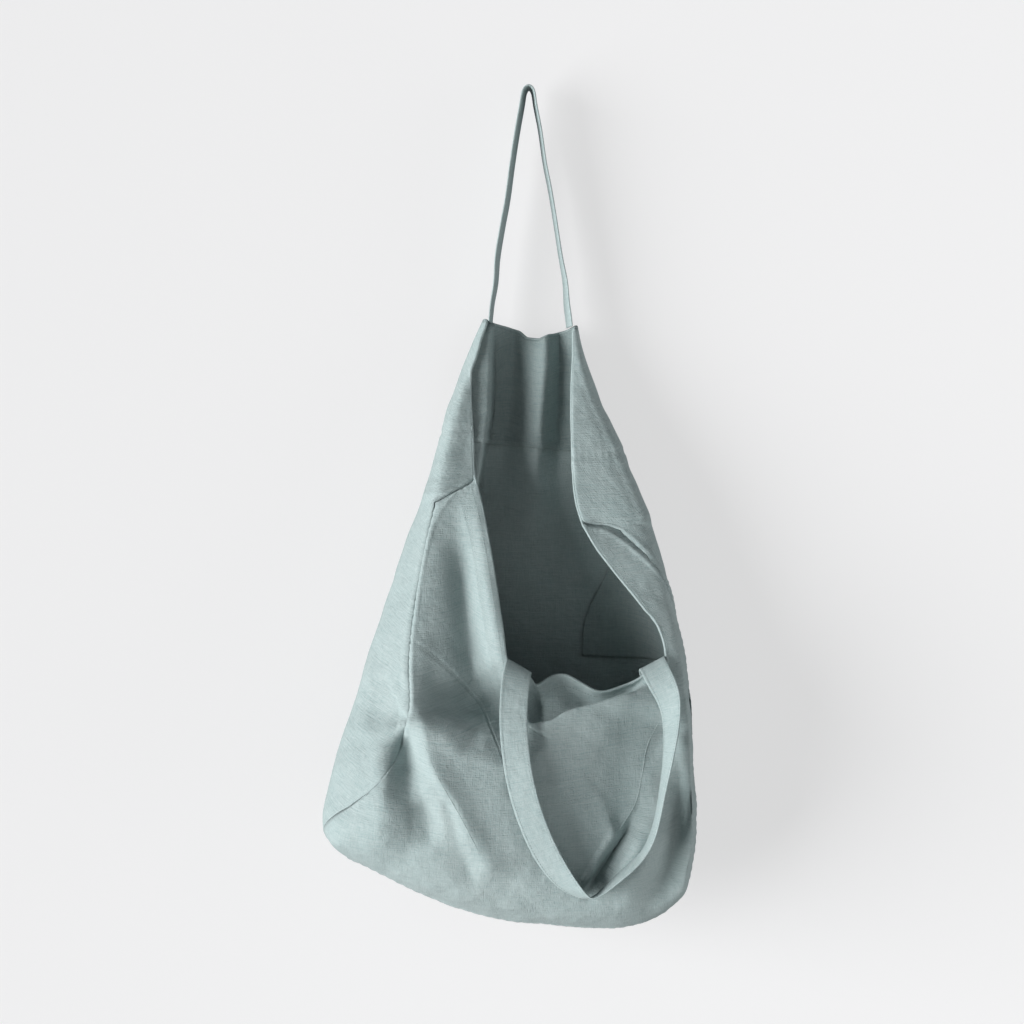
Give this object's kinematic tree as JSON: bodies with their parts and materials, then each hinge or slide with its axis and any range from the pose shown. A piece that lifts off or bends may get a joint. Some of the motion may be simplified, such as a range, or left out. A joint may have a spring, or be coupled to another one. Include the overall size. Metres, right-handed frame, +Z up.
{
  "type": "linen tote bag",
  "caption": "Large soft linen shopper hanging by one long handle, its front half sagging open and the other handle hanging down in front.",
  "frame": {"origin": "where the back handle hangs: the middle of its underside at the top of its bend", "axes": "+Z up, +X to the right seen from the front, +Y towards the wall behind the bag"},
  "size_m": [0.3748, 0.1714, 0.8538],
  "materials": {
    "linen": "matte woven linen, grey green",
    "facing": "matte woven linen, the same cloth seen from inside"
  },
  "bodies": {
    "root": {"back_panel": "linen", "front_panel": "linen", "back_facing": "facing", "front_facing": "facing", "back_handle": "linen", "front_handle": "linen"}
  },
  "joints": []
}
